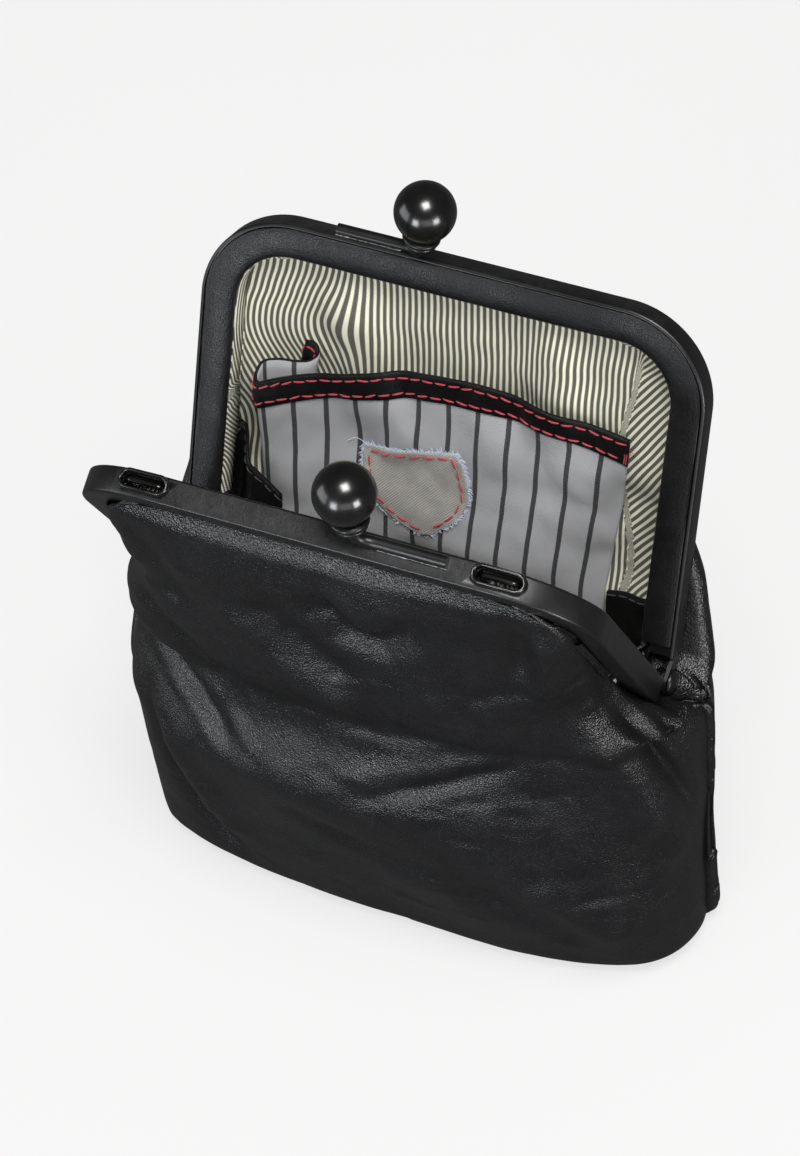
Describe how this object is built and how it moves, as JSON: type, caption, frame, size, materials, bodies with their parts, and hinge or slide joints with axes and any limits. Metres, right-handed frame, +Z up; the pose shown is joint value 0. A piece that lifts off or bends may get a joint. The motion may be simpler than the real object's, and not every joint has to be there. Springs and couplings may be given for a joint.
{
  "type": "phone pouch",
  "caption": "Soft leather phone pouch with a hinged U-shaped clasp frame, ball clasp, strap loops, striped lining and an inner card pocket, standing open.",
  "frame": {"origin": "on the flat underside of the base, straight below the hinge line and half way between the hinges", "axes": "+X along the hinge line towards the right hinge as the front is seen, +Y towards the rear frame, +Z up"},
  "size_m": [0.15, 0.0995, 0.202],
  "materials": {
    "paint": "black satin paint, scuffed on the bars",
    "ball_gloss": "high gloss black enamel",
    "leather": "fine-grained nappa, satin",
    "ticking": "plain weave with thin dark stripes",
    "pocket_twill": "twill with dark pinstripes",
    "patch_cotton": "brushed cotton, frayed edges",
    "paper_cord": "twisted paper cord, hidden in the channel"
  },
  "bodies": {
    "rear_half": {"rear_frame": "paint", "rear_collar": "paint", "rear_stem": "paint", "hinge_rivet_left": "paint", "hinge_rivet_right": "paint", "hinge_washer_left": "paint", "hinge_washer_right": "paint", "rear_ball": "ball_gloss", "rear_lip": "leather", "front_panel_lower": "leather", "back_panel": "leather", "gusset_facing_left": "leather", "gusset_facing_right": "leather", "pocket_band": "leather", "front_lining_lower": "ticking", "back_lining": "ticking", "pocket_cloth": "pocket_twill", "pocket_patch": "patch_cotton", "rear_channel_cord": "paper_cord"},
    "front_half": {"front_frame": "paint", "front_ball": "ball_gloss", "front_collar": "paint", "front_stem": "paint", "front_lip": "leather", "front_channel_cord_left": "paper_cord", "front_channel_cord_middle": "paper_cord", "front_channel_cord_right": "paper_cord", "strap_eyelet_left": "paint", "strap_eyelet_right": "paint", "front_panel_upper": "leather", "front_lining_upper": "ticking"},
    "left_loop": {"strap_loop_left": "paint"},
    "right_loop": {"strap_loop_right": "paint"}
  },
  "joints": [
    {"name": "mouth_hinge", "type": "hinge", "parent": "rear_half", "child": "front_half", "pos_m": [0, 0, 0.096], "axis": [-1, 0, 0], "range_deg": [-39.2, 50.8], "deforming": ["front_panel_upper", "front_lining_upper"]},
    {"name": "left_loop_slide", "type": "slide", "parent": "front_half", "child": "left_loop", "axis": [0, -0.4289, 0.9033], "range_m": [0, 0.0022]},
    {"name": "right_loop_slide", "type": "slide", "parent": "front_half", "child": "right_loop", "axis": [0, -0.4289, 0.9033], "range_m": [0, 0.0022]}
  ]
}
